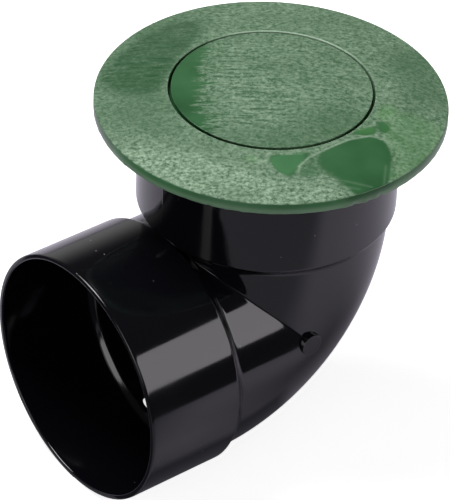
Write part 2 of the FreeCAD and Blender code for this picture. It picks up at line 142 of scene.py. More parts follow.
def through_bend(angle):
    """Turns through the bend from 0 to 90 degrees, one row per station and one column per angle.

    Rows are closer together at the mitre. Two rows near the start follow the drain slot's edges in
    the floor, a straight run with round ends, and close up past its tips. The rows before them, and
    a like set at the far end, share out the foot of the shoulder.
    """
    fine = np.array(MITRE_STEPS)
    even = np.linspace(*BEND_EVEN, BEND_ROWS)
    plain = np.unique(np.concatenate([even, MITRE_TURN + fine, MITRE_TURN - fine]))
    turn = np.repeat(np.radians(plain)[:, None], len(angle), axis=1)
    across = np.abs(SKIN_R * np.sin(angle))
    past = np.clip(across - SLOT_HALF + SLOT_R, 0, SLOT_R)
    beyond = np.clip(across - SLOT_HALF, 0, PAST_TIP_RUN)
    half = np.sqrt(SLOT_R ** 2 - past ** 2) + PAST_TIP_SPREAD * beyond
    half = np.where(np.cos(angle) < 0, half, THROAT_ROW_HALF)
    from_axis = BEND_R + SKIN_R * np.abs(np.cos(angle))
    middle = SLOT_Y - MOUTH + BEND_R
    from_axis = np.maximum(from_axis, HEEL_LEAST)
    edges = np.stack([np.arcsin((middle + side * half) / from_axis) for side in (-1, 1)])
    share = (np.arange(SHOULDER_ROWS)[:, None] / SHOULDER_ROWS) ** SHOULDER_CROWDING
    start = share * edges[:1]
    end = np.pi / 2 - share[::-1] * np.full_like(edges[:1], math.radians(SHOULDER_TURN))
    return np.concatenate([start, edges, turn, end])


def bend_reach(radius, foot, turn, angle):
    """Distance from the bend's centre line to the wall, in the plane at one turn.

    A straight pipe cut at the turn is an ellipse: (reach sin)^2 + (off + c reach cos)^2 = radius^2,
    with c the cosine to the nearer pipe. A rounded maximum of the two cosines fills the crease,
    and on the heel side a rounded minimum with the swept circle takes the mitre's corner off.
    Next to each hub the foot of its shoulder runs out, as the square of the distance left to go.
    """
    from_mitre = turn - np.pi / 4
    across = np.cos(angle)[None, :]
    side = np.sin(angle)[None, :]
    from_axis = np.maximum(BEND_R - radius * across, LEAST_TURN_R)
    fillet = CREASE_ROUND / from_axis * np.cos(2 * from_mitre) ** 2
    cosine = (np.cos(from_mitre) + np.hypot(np.sin(from_mitre), fillet)) / np.sqrt(2)
    off = BEND_R * (1 - cosine)
    square = side ** 2 + (cosine * across) ** 2
    root = (off * cosine * across) ** 2 + square * (radius ** 2 - off ** 2)
    mitred = (np.sqrt(root) - off * cosine * across) / square
    swept = radius + np.maximum(across, 0) * THROAT_FREE
    blend = RIDGE_ROUND * (1 - cosine) / (1 - np.sqrt(0.5)) + 1e-6
    near = np.maximum(blend - np.abs(mitred - swept), 0) / blend
    reach = np.minimum(mitred, swept) - near ** 2 * blend / 4
    from_hub = (BEND_R - radius * across) * np.sin(np.minimum(turn, np.pi / 2 - turn))
    left = np.clip(1 - from_hub / SHOULDER_RUN, 0, 1)
    return reach + foot * left ** 2


def pipe_wall(profile, radius, outside):
    """A wall from mouth to mouth: profile, bend, profile again. Rows are stations along the pipe.

    Each point is centre + reach (cos t + sin X), with t towards the throat at that station. The
    outside has the parting line, and the rim of its -X half is sharper than the other half's. No
    point of one pipe goes past the mitre plane, and where both shoulders meet there, the bend's own
    wall is closed up below them.
    """
    angle = around_pipe()
    bend_turn = through_bend(angle)[1:-1]
    leg = np.repeat(profile[:, 1:], len(angle), axis=1)
    sharp = outside * (1 - SHARP_RIM) * (np.sin(angle) < 0) * (profile[:, :1] > MOUTH - RIM_EASE)
    leg = leg + sharp * (HUB_R - leg)
    bend = bend_reach(radius, outside * SHOULDER_FOOT, bend_turn, angle)
    bend = np.where(leg[-1] * np.cos(angle) > BEND_R, 2 * BEND_R, bend)
    reach = np.concatenate([leg, bend, leg[::-1]])
    across = np.abs(np.sin(angle)) * reach
    reach = reach + outside * SEAM_RISE * np.exp(-(across / SEAM_HALF) ** 2)
    to_mitre = np.concatenate([profile[:, :1], np.full((len(bend), 1), BEND_R), profile[::-1, :1]])
    towards = np.cos(angle)[None, :]
    limit = to_mitre / np.maximum(towards, FACES_THROAT)
    reach = np.where(towards > FACES_THROAT, np.minimum(reach, limit), reach)
    straight = np.zeros_like(leg)
    turn = np.concatenate([straight, bend_turn, straight + np.pi / 2])
    out = straight + profile[:, :1] - BEND_R
    none = np.zeros_like(bend_turn)
    inlet = np.concatenate([out, none, straight])
    riser = np.concatenate([straight, none, out[::-1]])
    inward = reach * np.cos(angle)
    x = reach * np.sin(angle)
    y = BEND_R * (np.sin(turn) - 1) - inlet - inward * np.sin(turn)
    z = BEND_R * (1 - np.cos(turn)) + riser + inward * np.cos(turn)
    return np.stack([x, y + MOUTH, z], axis=-1)


def grid_faces(rows, columns, wrap_rows=False):
    """Four-sided faces of a grid of points numbered row by row, its columns joined into a ring."""
    row = np.arange(rows if wrap_rows else rows - 1)[:, None]
    column = np.arange(columns)[None, :]
    next_row = (row + 1) % rows
    next_column = (column + 1) % columns
    corners = (row * columns + column, row * columns + next_column,
               next_row * columns + next_column, next_row * columns + column)
    return np.stack(corners, axis=-1).reshape(-1, 4)


def elbow_wall():
    """The skin and the bore as one closed sheet, with the drain slot left open and its edge walled."""
    profile = hub_profile()
    skin = pipe_wall(profile, SKIN_R, outside=1.0)
    bore = pipe_wall(socket_profile(), BORE_R, outside=0.0)[::-1]
    wall = np.concatenate([skin, bore])
    rows, columns = wall.shape[:2]
    faces = grid_faces(rows, columns, wrap_rows=True)
    angle = around_pipe()
    in_slot = (np.cos(angle) < 0) & (np.abs(SKIN_R * np.sin(angle)) < SLOT_HALF - 1e-3)
    in_slot |= np.roll(in_slot, -1)
    opened = np.flatnonzero(in_slot)
    near_edge = len(profile) + SHOULDER_ROWS - 1
    far_edge = near_edge + 1
    row = faces[:, 0] // columns
    gone = np.isin(faces[:, 0] % columns, opened)
    gone &= np.isin(row, (near_edge, rows - 1 - far_edge))
    edge = np.stack([opened, opened + 1], axis=-1)
    near_wall = np.hstack([edge + near_edge * columns, edge[:, ::-1] + (rows - 1 - near_edge) * columns])
    far_wall = np.hstack([edge[:, ::-1] + far_edge * columns, edge + (rows - 1 - far_edge) * columns])
    return wall.reshape(-1, 3), np.concatenate([faces[~gone], near_wall, far_wall])


def revolved(profile, steps, closed=False):
    """A profile of radius and height turned about Z. Faces point outward if it climbs on the outside."""
    profile = np.asarray(profile, dtype=float)
    angle = np.linspace(0, 2 * np.pi, steps, endpoint=False)
    x = profile[:, :1] * np.cos(angle)
    y = profile[:, :1] * np.sin(angle)
    z = np.repeat(profile[:, 1:], steps, axis=1)
    points = np.stack([x, y, z], axis=-1).reshape(-1, 3)
    return points, grid_faces(len(profile), steps, wrap_rows=closed)


def elbow_nub():
    """A round nub turned about X, its root sunk in the wall of the bend and its face's edge eased."""
    points, faces = revolved([
        (0, NUB_FACE - NUB_ROOT), (NUB_R, NUB_FACE - 0.8 * NUB_ROOT), (NUB_R, NUB_FACE - NUB_EASE),
        (NUB_R - 0.3 * NUB_EASE, NUB_FACE - 0.3 * NUB_EASE), (NUB_R - NUB_EASE, NUB_FACE),
        (NUB_R - 2 * NUB_EASE, NUB_FACE), (0, NUB_FACE)], NUB_STEPS)
    return np.roll(points, 1, axis=1) + (0, MOUTH - NUB_SETBACK, NUB_SETBACK - NUB_DROP), faces


def new_piece(name, shells, weld=0.001):
    """One mesh object of closed shells, each its points in millimetres and its faces.

    Points closer together than weld are merged, which closes poles and seams. Two faces that then
    lie back to back on the same points, as in the fold at the mitre, are both left out.
    """
    points = np.concatenate([shell[0] for shell in shells])
    starts = np.cumsum([0] + [len(shell[0]) for shell in shells])
    faces = np.concatenate([shell[1] + start for shell, start in zip(shells, starts)])
    mesh = bpy.data.meshes.new(name)
    mesh.from_pydata(points * MM, [], faces)
    work = bmesh.new()
    work.from_mesh(mesh)
    merged = bmesh.ops.find_doubles(work, verts=work.verts, dist=weld * MM)["targetmap"]
    seen = set()
    folded = set()
    for face in work.faces:
        corners = frozenset(merged.get(vert, vert) for vert in face.verts)
        (folded if corners in seen else seen).add(corners)
    bmesh.ops.weld_verts(work, targetmap=merged)
    doubled = [face for face in work.faces if frozenset(face.verts) in folded]
    bmesh.ops.delete(work, geom=doubled, context="FACES")
    work.to_mesh(mesh)
    work.free()
    piece = bpy.data.objects.new(name, mesh)
    bpy.context.scene.collection.objects.link(piece)
    return piece


def smooth_faces(piece, sharp_degrees):
    """Smooth shading, with edges that turn by more than an angle kept sharp."""
    piece.data.shade_smooth()
    piece.data.set_sharp_from_angle(angle=math.radians(sharp_degrees))


elbow = new_piece("black_elbow", [elbow_wall(), elbow_nub()], weld=SLOT_WELD)
smooth_faces(elbow, sharp_degrees=38)


def srgb(code):
    """Linear colour, with alpha, of an sRGB hex code: ((v + 0.055) / 1.055)^2.4 above 0.04045."""
    value = np.array([int(code[i:i + 2], 16) for i in (1, 3, 5)]) / 255
    linear = np.where(value <= 0.04045, value / 12.92, ((value + 0.055) / 1.055) ** 2.4)
    return (*linear.tolist(), 1.0)


def new_material(name):
    """An empty node material."""
    material = bpy.data.materials.new(name)
    material.use_nodes = True
    material.node_tree.nodes.clear()
    return material


def add_node(owner, kind, inputs=None, **settings):
    """Adds one node. Settings are its properties, inputs its sockets' values or the outputs they read."""
    node = owner.node_tree.nodes.new("ShaderNode" + kind)
    for name, value in settings.items():
        setattr(node, name, value)
    for socket, value in (inputs or {}).items():
        if isinstance(value, bpy.types.NodeSocket):
            owner.node_tree.links.new(value, node.inputs[socket])
        else:
            node.inputs[socket].default_value = value
    return node


def per_mm(size):
    """Scale of a pattern in object coordinates whose features are a size in millimetres."""
    return 1 / (size * MM)


def finish_material(material, shader):
    """Puts a shader on the surface."""
    add_node(material, "OutputMaterial", {"Surface": shader.outputs["BSDF"]})
    return material


# Glossy styrene out of a polished mould: near black, sharp reflections with a slight orange peel,
# a little dust and a few fine rubs from handling.
def moulded_black_styrene():
    material = new_material("moulded_black_styrene")
    place = add_node(material, "TexCoord").outputs["Object"]
    peel = add_node(material, "TexNoise", {"Vector": place, "Scale": per_mm(16), "Detail": 1.0})
    dull = add_node(material, "TexNoise", {"Vector": place, "Scale": per_mm(28), "Detail": 4.0})
    rough = add_node(material, "MapRange", {
        "Value": dull.outputs["Fac"], "From Min": 0.3, "From Max": 0.7, "To Min": 0.06, "To Max": 0.13})
    dust = add_node(material, "TexVoronoi", {"Vector": place, "Scale": per_mm(5.5), "Randomness": 1.0})
    speck = add_node(material, "MapRange", {
        "Value": dust.outputs["Distance"], "From Min": 0.075, "From Max": 0.035})
    thin = add_node(material, "TexNoise", {"Vector": place, "Scale": per_mm(11), "Detail": 1.0})
    sparse = add_node(material, "MapRange", {"Value": thin.outputs["Fac"], "From Min": 0.6, "From Max": 0.68})
    dusty = add_node(material, "Math", {
        0: speck.outputs["Result"], 1: sparse.outputs["Result"]}, operation="MULTIPLY")
    colour = add_node(material, "Mix", {
        "Factor": dusty.outputs["Value"], 6: srgb("#0c0b10"), 7: srgb("#8a8488")}, data_type="RGBA")
    bump = add_node(material, "Bump", {
        "Height": peel.outputs["Fac"], "Strength": 0.02, "Distance": 1.0 * MM})
    shader = add_node(material, "BsdfPrincipled", {
        "Base Color": colour.outputs[2], "Roughness": rough.outputs["Result"],
        "Normal": bump.outputs["Normal"], "IOR": 1.57})
    return finish_material(material, shader)


elbow.data.materials.append(moulded_black_styrene())
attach(elbow, "fitting")
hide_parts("elbow")

# Emitter body: one moulding in green polyethylene, pushed into the elbow's upper socket. Its domed
# flange lies on the turf and hides the elbow, and its spider guides the stem of the cap.

FLANGE_R = 74.7
EDGE_TOP = 4.0
LIP_DROP = 1.35
LIP_R = 71.7
EDGE_ROUND = 0.8
DOME_RISE = 4.85
FLANGE_WALL = 3.0
OPENING_R = 43.6
OPENING_ROUND = 0.5
OPENING_ROW = 7.6
SIDE_ROWS = (0.4, 1.3, 2.2)
LEDGE_TOP = 5.25
LEDGE_R = 39.0
LEDGE_WALL = 2.6
COLLAR_R = 56.0
SPIGOT_R = 53.4
SPIGOT_BORE_R = 50.6
SPIGOT_LENGTH = 40.0
SPIGOT_BEVEL = 1.0
THROAT_DROP = 3.0
SLEEVE_R = 9.0
SLEEVE_BORE_R = 5.3
SLEEVE_TOP = -8.5
SLEEVE_FOOT = -24.5
SLEEVE_EASE = 0.4
ARM_WALL = 3.0
ARM_TOP = -10.0
ARM_FOOT = (-23.0, -19.0)
ARM_EASE = 0.4
ARM_COUNT = 4
ARM_IN_SLEEVE = 2.0
ARM_IN_WALL = 1.0
ARM_ROWS = 12
SLEEVE_STEPS = 64
DOME_DEPTH = (FLANGE_R ** 2 - OPENING_R ** 2 - DOME_RISE ** 2) / (2 * DOME_RISE)
DOME_R = math.hypot(FLANGE_R, DOME_DEPTH)
TOP_STEP = 0.5
FLANGE_STEPS = 720
ON_RIM = np.array((0, MOUTH, MOUTH))


def dome(radius, inset=0.0):
    """Height above the elbow's rim of the flange's dome, a sphere, or of a sphere inset below it."""
    return EDGE_TOP - DOME_DEPTH + np.sqrt((DOME_R - inset) ** 2 - np.asarray(radius) ** 2)


def on_dome(first, last, step, inset=0.0):
    """Radius and height along the dome from one radius to another."""
    radius = np.linspace(first, last, max(2, round(abs(last - first) / step)))
    return np.column_stack([radius, dome(radius, inset)])


def rounding(centre, size, first, last):
    """Points on a rounded corner: centre + size (cos, sin), from one angle in degrees to another."""
    angle = np.radians(np.linspace(first, last, 6))
    return np.array(centre) + size * np.column_stack([np.cos(angle), np.sin(angle)])


def emitter_profile():
    """Radius and height round the section: spigot, collar, dished underside, lip, dome and ledge."""
    edge_r = FLANGE_R - EDGE_ROUND
    opening_r = OPENING_R + OPENING_ROUND
    return np.concatenate([
        [(SPIGOT_BORE_R, -SPIGOT_LENGTH), (SPIGOT_R - SPIGOT_BEVEL, -SPIGOT_LENGTH),
         (SPIGOT_R, SPIGOT_BEVEL - SPIGOT_LENGTH), (SPIGOT_R, 0), (COLLAR_R, 0)],
        on_dome(COLLAR_R, LIP_R, 2.0, FLANGE_WALL),
        [(LIP_R, -LIP_DROP)],
        rounding((edge_r, EDGE_ROUND - LIP_DROP), EDGE_ROUND, -90, 0),
        [(FLANGE_R, height) for height in SIDE_ROWS],
        rounding((edge_r, dome(edge_r) - EDGE_ROUND), EDGE_ROUND, 0, 78),
        on_dome(edge_r, opening_r, TOP_STEP),
        rounding((opening_r, dome(opening_r) - OPENING_ROUND), OPENING_ROUND, 96, 180),
        [(OPENING_R, OPENING_ROW), (OPENING_R, LEDGE_TOP), (LEDGE_R, LEDGE_TOP),
         (LEDGE_R, LEDGE_TOP - LEDGE_WALL), (OPENING_R + LEDGE_WALL, LEDGE_TOP - LEDGE_WALL),
         (SPIGOT_BORE_R, -THROAT_DROP)]])


# Burrs and nicks left on the flange's lower edge: angle and half width in degrees, and how far the
# edge stands out there.
EDGE_MARKS = (
    (-1.5, 0.5, -0.7), (-4.0, 0.8, 0.35), (-7.5, 1.0, 0.45), (-11.0, 0.5, -0.6), (-14.5, 0.9, 0.4),
    (-47.0, 0.7, 0.3), (-52.5, 0.5, 0.35), (-58.0, 0.6, -0.4), (-92.0, 0.8, 0.3), (64.0, 0.7, -0.4),
    (131.0, 0.9, 0.35), (-168.0, 0.7, -0.5))
MARK_DEPTH = 2.0
MARK_TOP = 0.7
MARK_FADE = 1.8
RIPPLE = 0.07
FINE_RIPPLE = 0.05


def worn_edge(points):
    """The flange with its edge marks: each is a bell curve of the angle, strongest at the lower corner.

    A slow ripple of a few hundredths of a millimetre runs along the flash line between them.
    """
    radius = np.hypot(points[:, 0], points[:, 1])
    angle = np.degrees(np.arctan2(points[:, 1], points[:, 0]))
    outer = np.clip((radius - FLANGE_R + MARK_DEPTH) / MARK_DEPTH, 0, 1)
    low = outer * np.clip((MARK_TOP - points[:, 2]) / MARK_FADE, 0, 1)
    turn = np.radians(angle)
    stand = RIPPLE * np.sin(31 * turn) * np.sin(13 * turn + 1) + FINE_RIPPLE * np.sin(83 * turn)
    for middle, half, size in EDGE_MARKS:
        stand += size * np.exp(-((angle - middle) / half) ** 2)
    worn = points.copy()
    worn[:, :2] *= (1 + stand * low / np.maximum(radius, 1))[:, None]
    return worn


def closed_tube(rings):
    """A tube through rings of points, closed by the middle of its first and of its last ring."""
    count = rings.shape[1]
    ends = [np.repeat(ring.mean(axis=0)[None, None], count, axis=1) for ring in (rings[0], rings[-1])]
    tube = np.concatenate([ends[0], rings, ends[1]])
    return tube.reshape(-1, 3), grid_faces(len(tube), count)


def radial_plates(count, radius, low, high, wall, ease):
    """Plates that stand out from the axis: a rectangle with eased corners, carried along the radius."""
    half = wall / 2
    across = np.array([ease - half, half - ease, half, half, half - ease, ease - half, -half, -half])
    at_low = np.array([1, 1, 1, 0, 0, 0, 0, 1])
    inset = np.array([0, 0, ease, -ease, 0, 0, -ease, ease])
    height = low[:, None] * at_low + high[:, None] * (1 - at_low) + inset
    out = np.repeat(radius[:, None], len(across), axis=1)
    plates = []
    for turn in np.arange(count) * 2 * np.pi / count:
        x = out * np.cos(turn) - across * np.sin(turn)
        y = out * np.sin(turn) + across * np.cos(turn)
        plates.append(closed_tube(np.stack([x, y, height], axis=-1)))
    return plates


def guide_sleeve():
    """A short tube round the stem, its corners eased."""
    inner, outer, ease = SLEEVE_BORE_R, SLEEVE_R, SLEEVE_EASE
    return revolved([
        (inner, SLEEVE_FOOT + ease), (inner + ease, SLEEVE_FOOT), (outer - ease, SLEEVE_FOOT),
        (outer, SLEEVE_FOOT + ease), (outer, SLEEVE_TOP - ease), (outer - ease, SLEEVE_TOP),
        (inner + ease, SLEEVE_TOP), (inner, SLEEVE_TOP - ease)], SLEEVE_STEPS, closed=True)


def raised(shells):
    """Shells moved from the elbow's crossing up to its rim."""
    return [(points + ON_RIM, faces) for points, faces in shells]


flange_points, flange_faces = revolved(emitter_profile(), FLANGE_STEPS, closed=True)
arm_r = np.linspace(SLEEVE_R - ARM_IN_SLEEVE, SPIGOT_BORE_R + ARM_IN_WALL, ARM_ROWS)
arm_low = np.interp(arm_r, (SLEEVE_R, SPIGOT_BORE_R), ARM_FOOT)
arms = radial_plates(ARM_COUNT, arm_r, arm_low, np.full_like(arm_r, ARM_TOP), ARM_WALL, ARM_EASE)
emitter = new_piece(
    "green_emitter_body", raised([(worn_edge(flange_points), flange_faces), guide_sleeve(), *arms]))
smooth_faces(emitter, sharp_degrees=40)


def closed_curve(corners):
    """A smooth closed line through points: Catmull-Rom spans, ten points to a span."""
    here = np.array(corners, dtype=float)[:, None]
    before, after, later = (np.roll(here, shift, axis=0) for shift in (1, -1, -2))
    share = np.linspace(0, 1, 10, endpoint=False)[None, :, None]
    curve = here + share * (after - before) / 2
    curve = curve + share ** 2 * (2 * before - 5 * here + 4 * after - later) / 2
    curve = curve + share ** 3 * (3 * here - before - 3 * after + later) / 2
    curve = curve.reshape(-1, here.shape[-1])
    return np.concatenate([curve, curve[:1]])


def from_line(x, y, line):
    """Distance from each place to a line through points, and the number of its nearest span."""
    run_x, run_y = np.diff(line[:, :2], axis=0).T
    from_x = x[:, None] - line[:-1, 0]
    from_y = y[:, None] - line[:-1, 1]
    along = np.clip((from_x * run_x + from_y * run_y) / (run_x ** 2 + run_y ** 2), 0, 1)
    distance = np.hypot(from_x - along * run_x, from_y - along * run_y)
    return distance.min(axis=1), distance.argmin(axis=1)


def depth_inside(x, y, corners):
    """Depth inside a smooth closed outline, counted in the softness of its nearest edge.

    Outside it is below zero. A place is inside if a line from it crosses the outline an odd
    number of times. Each corner of the outline is x, y and softness.
    """
    line = closed_curve(corners)
    distance, span = from_line(x, y, line)
    run_x, run_y = np.diff(line[:, :2], axis=0).T
    from_x = x[:, None] - line[:-1, 0]
    from_y = y[:, None] - line[:-1, 1]
    passes = (from_y >= 0) != (from_y - run_y >= 0)
    slope = run_x / np.where(run_y == 0, 1e-9, run_y)
    inside = (passes & (from_x < from_y * slope)).sum(axis=1) % 2 == 1
    return np.where(inside, distance, -distance) / line[span, 2]


def places(piece):
    """Each point of a piece in millimetres from the emitter's axis and the elbow's rim: x, y and z."""
    points = np.empty(len(piece.data.vertices) * 3)
    piece.data.vertices.foreach_get("co", points)
    return (points.reshape(-1, 3) / MM - ON_RIM).T


def paint(piece, name, values):
    """Stores one number for each point of a piece, for its material to read."""
    layer = piece.data.attributes.new(name, "FLOAT", "POINT")
    layer.data.foreach_set("value", np.asarray(values, dtype=float))


def deepest(x, y, outlines):
    """The largest depth inside any of some outlines, each with the most that it counts for."""
    return np.max([np.minimum(depth_inside(x, y, corners), most) for most, corners in outlines], axis=0)


def within(x, y, outlines):
    """How far each place is within some soft outlines: 0 outside, a half on the line, 1 inside."""
    return np.clip(0.5 + deepest(x, y, outlines), 0, 1)


# Where the melt lay still against the mould and stayed smooth: the most it counts for, and the
# outline's corners from the axis, each with the softness of the edge there.
STILL_PATCHES = (
    (2.0, ((47.4, -13.5, 2.5), (46.7, -8.0, 0.7), (47.0, 3.4, 0.5), (49.5, 12.6, 0.5), (54.7, 15.8, 0.7),
           (61.3, 14.1, 1.6), (69.1, 9.0, 2.0), (73.7, 3.9, 1.6), (76.5, -4.0, 0.8), (75.5, -11.0, 0.8),
           (71.7, -14.5, 2.0), (62.5, -15.8, 4.0), (53.8, -17.5, 4.5))),
    (2.0, ((37.5, -30.6, 1.2), (41.1, -32.3, 0.8), (46.7, -33.1, 1.2), (51.3, -30.8, 2.0),
           (50.6, -27.4, 1.6), (48.2, -23.6, 1.6), (46.3, -17.6, 2.0), (43.9, -15.8, 2.0),
           (40.8, -22.2, 1.5), (37.9, -27.3, 1.2))),
    (1.2, ((43.5, 21.8, 2.0), (45.0, 24.5, 1.5), (48.3, 24.2, 1.2), (50.6, 21.4, 1.2), (49.4, 18.8, 1.5),
           (46.0, 19.0, 2.0))),
    (0.5, ((44.2, 8.0, 1.5), (44.0, 14.0, 2.0), (45.7, 18.0, 2.0), (48.6, 16.5, 1.5), (47.4, 11.0, 1.2))),
    (0.0, ((50.5, -27.0, 3.0), (46.5, -16.0, 2.0), (47.5, -11.0, 2.0), (54.0, -17.0, 3.0),
           (56.0, -22.0, 4.0))),
    (0.05, ((-42.6, -51.8, 9.0), (-29.0, -43.0, 7.0), (-31.4, -33.3, 5.0), (-43.0, -15.7, 6.0),
            (-52.0, 0.3, 8.0), (-61.8, 4.7, 7.0), (-66.3, -6.2, 7.0), (-61.4, -28.5, 9.0),
            (-53.9, -45.6, 7.0))),
)
# Where the green is palest, along the front of the flange, partly its own tone and partly painted
# light, and where it is deepest, on the left and back, partly its own tone and partly painted shade.
PALE_DRIFTS_AND_PAINTED_LIGHT = (
    (0.5, ((-10.7, -75.0, 6.0), (2.0, -67.1, 6.0), (13.1, -56.0, 5.0), (25.2, -49.3, 4.0), (38.2, -43.0, 4.0),
           (47.0, -38.0, 4.0), (55.1, -32.0, 4.0), (64.0, -21.3, 4.0), (73.0, -18.5, 4.0), (70.3, -28.9, 5.0),
           (61.0, -45.7, 5.0), (50.6, -58.0, 5.0), (36.6, -67.6, 5.0), (18.7, -74.4, 5.0))),
    (0.1, ((40.0, 40.0, 12.0), (58.0, 22.0, 12.0), (66.0, 20.0, 12.0), (62.0, 36.0, 12.0),
           (48.0, 50.0, 12.0))),
    (0.9, ((38.2, -31.0, 2.0), (49.0, -32.0, 2.0), (48.0, -22.0, 2.0), (42.0, -18.0, 2.0))),
)
DARK_DRIFTS_AND_PAINTED_SHADE = (
    (0.5, ((38.7, -57.3, 3.0), (44.8, -49.5, 3.0), (50.2, -47.3, 3.0), (52.3, -50.9, 3.0),
           (43.1, -59.2, 3.0))),
    (0.5, ((-76.0, 0.0, 16.0), (-55.0, 10.0, 16.0), (-46.0, -8.0, 16.0), (-20.0, -40.0, 14.0),
           (0.0, -52.0, 12.0), (-8.0, -64.0, 12.0), (-30.0, -72.0, 16.0), (-65.0, -38.0, 16.0))),
    (0.3, ((60.0, 40.0, 10.0), (40.0, 62.0, 10.0), (10.0, 74.0, 10.0), (8.0, 60.0, 10.0), (34.0, 46.0, 10.0),
           (52.0, 24.0, 10.0), (72.0, 20.0, 10.0))),
)
# Where the green is livelier than round it.
FRESH_SPOTS = (
    (0.5, ((32.0, -39.0, 3.0), (35.0, -37.5, 3.0), (35.5, -35.5, 3.0), (32.5, -36.0, 3.0))),
    (0.5, ((36.0, 32.0, 3.0), (40.0, 24.0, 3.0), (45.0, 27.0, 4.0), (41.0, 34.0, 4.0))),
    (0.3, ((44.2, 9.0, 3.0), (44.0, 14.0, 3.0), (46.0, 18.0, 3.0), (47.6, 14.0, 3.0))),
    (0.1, ((44.0, 32.0, 8.0), (52.0, 20.0, 6.0), (66.0, 14.0, 6.0), (74.0, 6.0, 6.0), (70.0, 26.0, 8.0),
           (58.0, 42.0, 8.0))),
)
# Pale lines where two fronts of melt met: strength, half width, and the points along each.
PALE_LINES = (
    (0.35, 0.45, ((50.9, -26.2), (48.3, -23.6), (46.6, -17.6), (46.3, -9.0), (46.6, 3.6), (49.0, 12.8))),
    (0.20, 0.6, ((49.0, 12.8), (52.6, 16.4), (57.0, 17.6))),
    (0.14, 0.45, ((65.0, -13.3), (73.1, -5.7))),
    (0.12, 0.45, ((66.6, -16.0), (71.6, -11.0))),
    (0.14, 0.6, ((66.2, 10.6), (75.8, 1.7))),
    (0.10, 0.5, ((66.4, 7.2), (74.2, -0.2))),
)
# A painted highlight: a pale ring on the opening's rounded edge, all round and strongest on one side.
EDGE_HIGHLIGHT_R = 43.95
EDGE_HIGHLIGHT_HALF = 0.4
EDGE_HIGHLIGHT_DEPTH = 1.2
EDGE_HIGHLIGHT_EVEN = 0.12
EDGE_HIGHLIGHT_MORE = 0.7
EDGE_HIGHLIGHT_GAIN = 4.0
EDGE_HIGHLIGHT_FROM = 2.6
EDGE_HIGHLIGHT_TURN = -142.0
WORN_SIDE = 0.28
WORN_SIDE_TOP = 1.6
WORN_SIDE_FADE = 0.8
PIT_PLACE = (43.5, -38.8)
PIT_HALF = 0.7
PIT_PAINTED_SHADE = 3.0
SIDE_STILL = 4.0
FLANGE_RAGGED = 0.35


def flange_paint():
    """Paints the flange: still patches, pale and deep drifts, a pit, fresh spots and pale lines.

    A painted highlight rings the opening's edge, most on one side. The flange's lower side is worn pale.
    """
    x, y, z = places(emitter)
    radius = np.hypot(x, y)
    below = dome(np.minimum(radius, FLANGE_R)) - z
    side = (radius > FLANGE_R - EDGE_ROUND) & (below > EDGE_ROUND / 3) | (below > FLANGE_WALL / 2)
    paint(emitter, "still", np.where(side, SIDE_STILL, deepest(x, y, STILL_PATCHES)))
    paint(emitter, "ragged", np.where(side, 0.0, FLANGE_RAGGED))
    # The pit is not modelled: its darkness is painted shade.
    pit = np.exp(-(np.hypot(x - PIT_PLACE[0], y - PIT_PLACE[1]) / PIT_HALF) ** 2)
    # The drifts are partly the green's own tone and partly painted light and painted shade.
    paint(emitter, "pale", within(x, y, PALE_DRIFTS_AND_PAINTED_LIGHT) - within(x, y, DARK_DRIFTS_AND_PAINTED_SHADE) - PIT_PAINTED_SHADE * pit)
    paint(emitter, "fresh", within(x, y, FRESH_SPOTS))
    # Painted highlight on the opening's edge, faint all round and brighter on one side.
    turned = np.cos(np.arctan2(x, -y) - math.radians(EDGE_HIGHLIGHT_TURN))
    more = np.clip(EDGE_HIGHLIGHT_GAIN * turned - EDGE_HIGHLIGHT_FROM, 0, 1)
    worn = EDGE_HIGHLIGHT_EVEN + EDGE_HIGHLIGHT_MORE * more
    worn = worn * (below < EDGE_HIGHLIGHT_DEPTH)
    worn = worn * np.exp(-((radius - EDGE_HIGHLIGHT_R) / EDGE_HIGHLIGHT_HALF) ** 2)
    for strength, half, points in PALE_LINES:
        distance = from_line(x, y, np.array(points))[0]
        worn = np.maximum(worn, strength * np.exp(-(distance / half) ** 2) * ~side)
    low = np.clip((WORN_SIDE_TOP - z) / WORN_SIDE_FADE, 0, 1) * (radius > FLANGE_R - EDGE_ROUND)
    # worn holds the painted highlight on the opening's edge, the pale weld lines and real wear low on the
    # side.
    paint(emitter, "worn", np.maximum(worn, WORN_SIDE * low))


flange_paint()


# Reground green polyethylene: the skin is a fine pale crinkle over darker green, drawn out along
# the melt's flow, and stays smooth and dark where the melt lay still against the mould.
FLOW_TURN = 50.7


